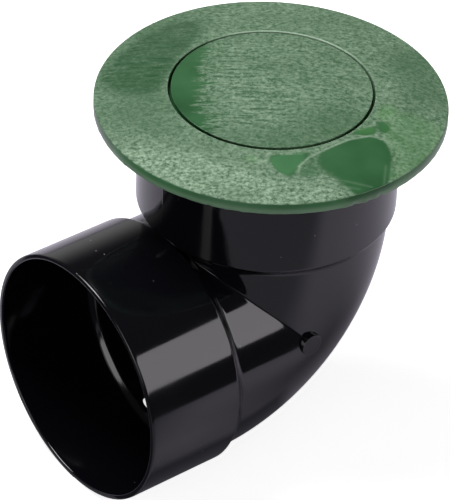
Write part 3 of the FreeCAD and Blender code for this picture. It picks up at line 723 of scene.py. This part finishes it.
def crinkled_green_polyethylene():
    material = new_material("crinkled_green_polyethylene")
    place = add_node(material, "TexCoord").outputs["Object"]
    drawn, streaked = (
        add_node(material, "Mapping", {
            "Vector": place, "Rotation": (0, 0, math.radians(FLOW_TURN)), "Scale": (stretch, 1.0, 1.0)},
            vector_type="TEXTURE").outputs["Vector"]
        for stretch in (1.2, 8.0))
    still, ragged, pale, fresh, worn = (
        add_node(material, "Attribute", attribute_name=name).outputs["Fac"]
        for name in ("still", "ragged", "pale", "fresh", "worn"))
    crinkle = add_node(material, "TexNoise", {
        "Vector": drawn, "Scale": per_mm(1.5), "Detail": 2.0, "Roughness": 0.75, "Distortion": 0.3})
    drift = add_node(material, "TexNoise", {"Vector": place, "Scale": per_mm(22), "Detail": 4.0})
    streak = add_node(material, "TexNoise", {
        "Vector": streaked, "Scale": per_mm(1.5), "Detail": 3.0, "Roughness": 0.7})
    strand = add_node(material, "MapRange", {
        "Value": streak.outputs["Fac"], "From Min": 0.3, "From Max": 0.7, "To Min": -1.0, "To Max": 1.0},
        clamp=False)
    torn = add_node(material, "Math", {0: strand.outputs["Result"], 1: ragged}, operation="MULTIPLY")
    edge = add_node(material, "Math", {0: torn.outputs["Value"], 1: still}, operation="ADD")
    calm = add_node(material, "MapRange", {
        "Value": edge.outputs["Value"], "From Min": -0.6, "From Max": 0.6}, interpolation_type="SMOOTHSTEP")
    grain = add_node(material, "Math", {
        0: crinkle.outputs["Fac"], 1: 6.0, 2: -2.0}, operation="MULTIPLY_ADD")
    gain = add_node(material, "Math", {
        0: torn.outputs["Value"], 1: 0.4, 2: grain.outputs["Value"]}, operation="MULTIPLY_ADD")
    # The pale attribute carries tone, and on the flange painted light and painted shade from the drifts and
    # pit.
    leaning = add_node(material, "Math", {0: pale, 1: 0.15, 2: 0.15}, operation="MULTIPLY_ADD")
    drifting = add_node(material, "Math", {
        0: drift.outputs["Fac"], 1: 0.28, 2: leaning.outputs["Value"]}, operation="MULTIPLY_ADD")
    flecked = add_node(material, "Math", {
        0: gain.outputs["Value"], 1: drifting.outputs["Value"]}, operation="MULTIPLY")
    fleck = add_node(material, "MapRange", {"Value": flecked.outputs["Value"]})
    crinkled = add_node(material, "Mix", {
        "Factor": fleck.outputs["Result"], 6: srgb("#3c6742"), 7: srgb("#aac6a9")}, data_type="RGBA")
    lean = add_node(material, "Math", {0: pale, 1: 0.5, 2: -0.16}, operation="MULTIPLY_ADD")
    depth = add_node(material, "Math", {0: lean.outputs["Value"], 1: drift.outputs["Fac"]}, operation="ADD")
    deep = add_node(material, "Mix", {
        "Factor": depth.outputs["Value"], 6: srgb("#25552f"), 7: srgb("#508858")}, data_type="RGBA")
    settled = add_node(material, "Mix", {
        "Factor": calm.outputs["Result"], 6: crinkled.outputs[2], 7: deep.outputs[2]}, data_type="RGBA")
    lively = add_node(material, "Math", {0: fresh, 1: 0.28}, operation="MULTIPLY")
    freshened = add_node(material, "Mix", {
        "Factor": lively.outputs["Value"], 6: settled.outputs[2], 7: srgb("#6aae5c")}, data_type="RGBA")
    # worn mixes in pale green: a painted highlight on the opening's edge, pale weld lines and real wear.
    colour = add_node(material, "Mix", {
        "Factor": worn, 6: freshened.outputs[2], 7: srgb("#b9d4b9")}, data_type="RGBA")
    relief = add_node(material, "MapRange", {"Value": calm.outputs["Result"], "To Min": 0.4, "To Max": 0.04})
    bump = add_node(material, "Bump", {
        "Height": crinkle.outputs["Fac"], "Strength": relief.outputs["Result"], "Distance": 0.4 * MM})
    rough = add_node(material, "MapRange", {"Value": calm.outputs["Result"], "To Min": 0.55, "To Max": 0.32})
    shader = add_node(material, "BsdfPrincipled", {
        "Base Color": colour.outputs[2], "Roughness": rough.outputs["Result"],
        "Normal": bump.outputs["Normal"], "IOR": 1.51})
    return finish_material(material, shader)


green = crinkled_green_polyethylene()
emitter.data.materials.append(green)
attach(emitter, "fitting")
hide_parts("emitter_body")

# Cap: one moulding in the same green polyethylene, a disc level with the flange. A ring below it
# closes on the ledge, ribs stiffen it, and its stem slides in the guide sleeve.

CAP_R = 42.4
CAP_ROUND = 0.3
CAP_UNDERCUT = 1.2
CAP_EDGE_FOOT = 7.4
CAP_FOOT_EASE = 0.3
CAP_WALL = 3.0
CAP_RING_R = 36.7
STEM_R = 5.0
STEM_END = -60.5
STEM_EASE = 0.4
PILOT_R = 2.1
PILOT_TOP = -42.5
RIB_COUNT = 6
RIB_END_R = 36.5
RIB_WALL = 2.2
RIB_DEPTH = 6.0
RIB_EASE = 0.3
RIB_ROWS = 20
CAP_STEPS = 540


def cap_profile():
    """Radius and height from the screw's hole round the stem, ring and edge to the top's middle.

    The side leans in below the edge, so the gap round the cap is deep and dark.
    """
    edge_r = CAP_R - CAP_ROUND
    side_r = CAP_R - CAP_UNDERCUT
    return np.concatenate([
        [(0, PILOT_TOP), (PILOT_R, PILOT_TOP), (PILOT_R, STEM_END), (STEM_R - STEM_EASE, STEM_END),
         (STEM_R, STEM_END + STEM_EASE)],
        on_dome(STEM_R, CAP_RING_R, 2.0, CAP_WALL),
        [(CAP_RING_R, LEDGE_TOP), (side_r - CAP_FOOT_EASE, LEDGE_TOP),
         (side_r, LEDGE_TOP + CAP_FOOT_EASE), (side_r, CAP_EDGE_FOOT)],
        rounding((edge_r, dome(edge_r) - CAP_ROUND), CAP_ROUND, -40, 84),
        on_dome(edge_r, 0, TOP_STEP)])


rib_r = np.linspace(STEM_R / 2, RIB_END_R, RIB_ROWS)
rib_low = np.interp(rib_r, (STEM_R, RIB_END_R), (LEDGE_TOP - RIB_DEPTH, LEDGE_TOP))
ribs = radial_plates(RIB_COUNT, rib_r, rib_low, dome(rib_r, CAP_WALL / 2), RIB_WALL, RIB_EASE)
cap = new_piece("green_pop_up_cap", raised([revolved(cap_profile(), CAP_STEPS), *ribs]))
smooth_faces(cap, sharp_degrees=40)

# Outlines as on the flange: the smooth crescent, the deeper green on the right, and the streaked
# part beside the crescent.
CAP_STILL = (
    (3.0, ((-46.0, 1.0, 4.5), (-39.0, -8.5, 4.5), (-33.9, -13.1, 4.5), (-23.1, -22.2, 4.5),
           (-13.5, -30.2, 4.5), (-5.4, -35.6, 4.5), (4.0, -39.4, 4.5), (6.0, -46.0, 4.5),
           (-26.0, -46.0, 4.5), (-46.0, -26.0, 4.5))),
)
CAP_DARK = (
    (0.5, ((10.0, -30.0, 16.0), (30.0, -12.0, 16.0), (26.0, 6.0, 16.0), (38.0, 20.0, 16.0),
           (46.0, 10.0, 16.0), (46.0, -20.0, 16.0), (24.0, -42.0, 16.0))),
)
CAP_STREAKED = (
    (0.5, ((-33.0, -5.0, 14.0), (-2.0, -36.0, 14.0), (13.0, -35.0, 14.0), (20.0, -23.0, 14.0),
           (2.0, 2.0, 14.0), (-20.0, 14.0, 14.0), (-33.0, 10.0, 14.0))),
)
CAP_STILL_MORE = 0.5
CAP_RAGGED = 1.0
STREAK_RAGGED = 2.0
STREAK_PALE = 0.1
CAP_DEEPER = 0.05


def cap_paint():
    """Paints the cap: its still crescent, the pale streaks beside it and its quieter side."""
    x, y = places(cap)[:2]
    streaked = within(x, y, CAP_STREAKED)
    paint(cap, "still", deepest(x, y, CAP_STILL) + CAP_STILL_MORE)
    paint(cap, "ragged", CAP_RAGGED + STREAK_RAGGED * streaked)
    paint(cap, "pale", STREAK_PALE * streaked - CAP_DEEPER - within(x, y, CAP_DARK))
    paint(cap, "fresh", np.zeros_like(x))
    paint(cap, "worn", np.zeros_like(x))


cap_paint()
cap.data.materials.append(green)
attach(cap, "cap_assembly")
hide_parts("pop_up_cap")

# Return spring: stainless wire wound round the stem, its last turns closed and ground flat. It lies
# between the foot of the guide sleeve and the washer. The real spring shortens as the cap rises; this
# one keeps one length.

SPRING_LOW = 40.0
SPRING_HIGH = 76.0
SPRING_TURNS = 6.0
CLOSED_TURNS = 0.75
WIRE = 1.5
COIL_R = 6.65
GRINDING = 0.05
END_DEPTH = 0.4
CLOSED_PITCH = 0.9
SPRING_RINGS = 433
WIRE_SIDES = 16


def wound_wire():
    """Rings round a helix whose height eases into closed turns at both ends.

    Each ring lies across the wire, and its points stop at the two ground planes.
    """
    turn = np.linspace(0, SPRING_TURNS, SPRING_RINGS)
    share = np.clip((turn - CLOSED_TURNS) / (SPRING_TURNS - 2 * CLOSED_TURNS), 0, 1)
    closed = np.minimum(turn, CLOSED_TURNS) + np.maximum(turn - SPRING_TURNS + CLOSED_TURNS, 0)
    low = SPRING_LOW + WIRE * END_DEPTH
    high = SPRING_HIGH - WIRE * END_DEPTH
    closed_rise = WIRE * CLOSED_PITCH
    height = low + closed * closed_rise + share * (high - low - 2 * CLOSED_TURNS * closed_rise)
    angle = turn * 2 * np.pi
    path = np.stack([COIL_R * np.cos(angle), COIL_R * np.sin(angle) + MOUTH, height], axis=-1)
    along = np.gradient(path, axis=0)
    along /= np.linalg.norm(along, axis=1, keepdims=True)
    outward = np.stack([np.cos(angle), np.sin(angle), angle * 0], axis=-1)
    upward = np.cross(along, outward)
    ring = np.linspace(0, 2 * np.pi, WIRE_SIDES, endpoint=False)
    ring = ring[None, :, None]
    spread = outward[:, None] * np.cos(ring) + upward[:, None] * np.sin(ring)
    rings = path[:, None] + spread * (WIRE / 2)
    rings[..., 2] = np.clip(rings[..., 2], SPRING_LOW + GRINDING, SPRING_HIGH - GRINDING)
    return rings


spring = new_piece("return_spring_coil", [closed_tube(wound_wire())])
smooth_faces(spring, sharp_degrees=45)


# Drawn and pressed stainless steel: grey, with fine lines along the drawing.
def drawn_stainless_steel():
    material = new_material("drawn_stainless_steel")
    place = add_node(material, "TexCoord").outputs["Object"]
    lines = add_node(material, "Mapping", {"Vector": place, "Scale": (1.0, 1.0, 6.0)})
    grain = add_node(material, "TexNoise", {
        "Vector": lines.outputs["Vector"], "Scale": per_mm(0.9), "Detail": 3.0})
    rough = add_node(material, "MapRange", {
        "Value": grain.outputs["Fac"], "From Min": 0.3, "From Max": 0.7, "To Min": 0.22, "To Max": 0.36})
    colour = add_node(material, "Mix", {
        "Factor": grain.outputs["Fac"], 6: srgb("#b9b7b3"), 7: srgb("#d2d0cc")}, data_type="RGBA")
    shader = add_node(material, "BsdfPrincipled", {
        "Base Color": colour.outputs[2], "Roughness": rough.outputs["Result"], "Metallic": 1.0})
    return finish_material(material, shader)


steel = drawn_stainless_steel()
spring.data.materials.append(steel)
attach(spring, "fitting")
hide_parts("return_spring")
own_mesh(spring)

# Washer and screw: stainless pieces on the end of the stem. The screw is driven up into the stem
# and holds the washer, which carries the spring's foot. They keep the solids' own shapes.

for name in ("spring_washer", "retaining_screw"):
    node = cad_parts[name]
    node.data.materials.clear()
    node.data.materials.append(steel)

# Stage: a white sheet that the elbow lies on, and dark floor in front of it, its darkness painted
# shade. The sheet's colour holds a painted falloff of the light along it and painted shade under the
# elbow, which the glossy moulding mirrors. Seen straight, all of it is white.

SHEET_SLOPE = 0.39
SHEET_START = -15.5
SHEET_RIGHT = 262.0
STAGE_FAR = 1600.0
DARK_RIGHT = 39.0
DARK_NEAR = -1254.0
FALLOFF_SLOPE = 0.6
FALLOFF_DIM = -60.0
FALLOFF_BRIGHT = 7.0
SHADE_X = (68.0, 58.0)
SHADE_Y = (112.0, 100.0)
FLOOR_WHITE = "#e4e4e5"
FLOOR_SHINE = 0.8
SHINE_NEAR = 200.0
SHINE_FAR = 550.0


def direction(azimuth, elevation):
    """Unit vector towards an azimuth, 0 along -Y and 90 along +X, and an elevation, in degrees."""
    turn, rise = math.radians(azimuth), math.radians(elevation)
    return Vector((math.sin(turn) * math.cos(rise), -math.cos(turn) * math.cos(rise), math.sin(rise)))


def floor_part(*corners):
    """One level face of the floor through corners, each an x and a y."""
    ground = cad_box[0].z / MM
    return np.array([(x, y, ground) for x, y in corners]), np.arange(len(corners))[None]


def matt_floor(name, dim, bright):
    """A matt floor, painted from dim to bright along the light and painted dim in the elbow's own shade.

    Only its mirror image shows that painting. The camera sees it white, with the shadows on it.
    """
    material = new_material(name)
    place = add_node(material, "TexCoord").outputs["Object"]
    from_middle = add_node(material, "VectorMath", {0: place}, operation="ABSOLUTE")
    across = add_node(material, "SeparateXYZ", {"Vector": from_middle.outputs["Vector"]})
    # Painted light: the mirrored colour goes from dim to bright along the sheet.
    along = add_node(material, "VectorMath", {0: place, 1: (-FALLOFF_SLOPE, 1, 0)}, operation="DOT_PRODUCT")
    lit = add_node(material, "MapRange", {
        "Value": along.outputs["Value"], "From Min": FALLOFF_DIM * MM, "From Max": FALLOFF_BRIGHT * MM},
        interpolation_type="SMOOTHSTEP")
    # Painted shade: the mirrored colour is dim under the elbow, where its own shade falls.
    beside, behind = (
        add_node(material, "MapRange", {
            "Value": across.outputs[axis], "From Min": inside * MM, "From Max": outside * MM})
        for axis, (outside, inside) in (("X", SHADE_X), ("Y", SHADE_Y)))
    clear = add_node(material, "Math", {
        0: beside.outputs["Result"], 1: behind.outputs["Result"]}, operation="MAXIMUM")
    level = add_node(material, "Math", {
        0: lit.outputs["Result"], 1: clear.outputs["Value"]}, operation="MULTIPLY")
    mirrored = add_node(material, "Mix", {
        "Factor": level.outputs["Value"], 6: srgb(dim), 7: srgb(bright)}, data_type="RGBA")
    straight = add_node(material, "LightPath").outputs["Is Camera Ray"]
    colour = add_node(material, "Mix", {
        "Factor": straight, 6: mirrored.outputs[2], 7: srgb(FLOOR_WHITE)}, data_type="RGBA")
    matt = add_node(material, "BsdfDiffuse", {"Color": colour.outputs[2]})
    away = add_node(material, "VectorMath", {0: place}, operation="LENGTH")
    shining = add_node(material, "MapRange", {
        "Value": away.outputs["Value"], "From Min": SHINE_NEAR * MM, "From Max": SHINE_FAR * MM,
        "To Min": FLOOR_SHINE, "To Max": 1.0}, interpolation_type="SMOOTHSTEP")
    glow = add_node(material, "Math", {0: straight, 1: shining.outputs["Result"]}, operation="MULTIPLY")
    shine = add_node(material, "Emission", {"Strength": glow.outputs["Value"]})
    both = add_node(material, "AddShader", {0: matt.outputs["BSDF"], 1: shine.outputs["Emission"]})
    add_node(material, "OutputMaterial", {"Surface": both.outputs["Shader"]})
    return material


far_left, dark_right = ((x, SHEET_START + SHEET_SLOPE * x) for x in (-STAGE_FAR, DARK_RIGHT))
dark_near = (SHEET_RIGHT, DARK_NEAR)
# The sheet's mirrored colour is painted light and shade, and the front floor's dark colour is painted shade.
for name, dim, bright, part in (
        ("white_sheet", "#a4a2ac", "#f2edfc", floor_part(
            far_left, dark_right, dark_near, (SHEET_RIGHT, STAGE_FAR), (-STAGE_FAR, STAGE_FAR))),
        ("painted_shade_floor", "#3d3b43", "#3d3b43", floor_part(
            far_left, (-STAGE_FAR, -STAGE_FAR), (SHEET_RIGHT, -STAGE_FAR), dark_near, dark_right))):
    floor = new_piece(name, [part])
    floor.data.materials.append(matt_floor(name, dim, bright))

# Light: one strip of soft light low on the right, a low soft light in front and a strong one high
# on the left. The room is dim but for a white backdrop low behind the object.


def soft_light(name, azimuth, elevation, distance, width, height, radiance, tint):
    """A rectangle of light aimed at the elbow: watts = radiance times pi times its area."""
    lamp = bpy.data.lights.new(name, "AREA")
    lamp.shape = "RECTANGLE"
    lamp.size = width
    lamp.size_y = height
    lamp.energy = radiance * math.pi * width * height
    lamp.color = srgb(tint)[:3]
    towards = direction(azimuth, elevation)
    light = bpy.data.objects.new(name, lamp)
    light.location = Vector((0, MOUTH * MM, 0)) + towards * distance
    light.rotation_mode = "QUATERNION"
    light.rotation_quaternion = towards.to_track_quat("Z", "Y")
    bpy.context.scene.collection.objects.link(light)


soft_light("right_strip", azimuth=122, elevation=22, distance=1.3, width=0.9, height=0.68,
           radiance=2.6, tint="#fffaff")
soft_light("front_soft", azimuth=17, elevation=16, distance=1.5, width=0.8, height=0.8,
           radiance=2.6, tint="#ffffff")
soft_light("top_soft", azimuth=-55, elevation=68, distance=1.4, width=0.7, height=0.7,
           radiance=9.6, tint="#ffffff")

ROOM_DIM = 0.04
BACKDROP_AZIMUTH = -129
BACKDROP_GLOW = 0.5
BACKDROP_TOP = 0.5
BACKDROP_FULL = 0.08
BACKDROP_SIDE = -0.1
BACKDROP_MIDDLE = 0.5

world = bpy.data.worlds.new("studio")
bpy.context.scene.world = world
world.use_nodes = True
world.node_tree.nodes.clear()
facing = add_node(world, "TexCoord").outputs["Generated"]
height = add_node(world, "SeparateXYZ", {"Vector": facing})
behind = add_node(world, "VectorMath", {
    0: facing, 1: direction(BACKDROP_AZIMUTH, 0)}, operation="DOT_PRODUCT")
low_part = add_node(world, "MapRange", {
    "Value": height.outputs["Z"], "From Min": BACKDROP_TOP, "From Max": BACKDROP_FULL},
    interpolation_type="SMOOTHSTEP")
back_part = add_node(world, "MapRange", {
    "Value": behind.outputs["Value"], "From Min": BACKDROP_SIDE, "From Max": BACKDROP_MIDDLE,
    "To Max": BACKDROP_GLOW - ROOM_DIM}, interpolation_type="SMOOTHSTEP")
room = add_node(world, "Math", {
    0: low_part.outputs["Result"], 1: back_part.outputs["Result"], 2: ROOM_DIM}, operation="MULTIPLY_ADD")
light_path = add_node(world, "LightPath")
seen = add_node(world, "Mix", {
    "Factor": light_path.outputs["Is Camera Ray"], 2: room.outputs["Value"], 3: 1.0}, data_type="FLOAT")
air = add_node(world, "Background", {"Color": (1, 1, 1, 1), "Strength": seen.outputs[0]})
add_node(world, "OutputWorld", {"Surface": air.outputs["Background"]})
bpy.context.scene.view_settings.view_transform = "Standard"

# Camera: high on the inlet's right, where the photograph was taken from, with a long lens and a
# slight roll.

VIEW_AZIMUTH = 50.71
VIEW_ELEVATION = 37.31
VIEW_ROLL = 2.63
STANDPOINT = Vector((870.2, -632.8, 890.5)) * MM
FOCAL_PIXELS = 3288.04
LONG_SIDE_PIXELS = 500
SENSOR = 36.0
SEES_TO = 20.0

lens = bpy.data.cameras.new("view")
lens.sensor_width = SENSOR
lens.lens = FOCAL_PIXELS * SENSOR / LONG_SIDE_PIXELS
lens.clip_end = SEES_TO
camera = bpy.data.objects.new("view", lens)
bpy.context.scene.collection.objects.link(camera)
bpy.context.scene.camera = camera
backward = direction(VIEW_AZIMUTH, VIEW_ELEVATION)
level = direction(VIEW_AZIMUTH + 90, 0)
upward = backward.cross(level)
roll = math.radians(VIEW_ROLL)
right = level * math.cos(roll) + upward * math.sin(roll)
top = upward * math.cos(roll) - level * math.sin(roll)
camera.matrix_world = Matrix((
    (right.x, top.x, backward.x, STANDPOINT.x),
    (right.y, top.y, backward.y, STANDPOINT.y),
    (right.z, top.z, backward.z, STANDPOINT.z),
    (0, 0, 0, 1)))
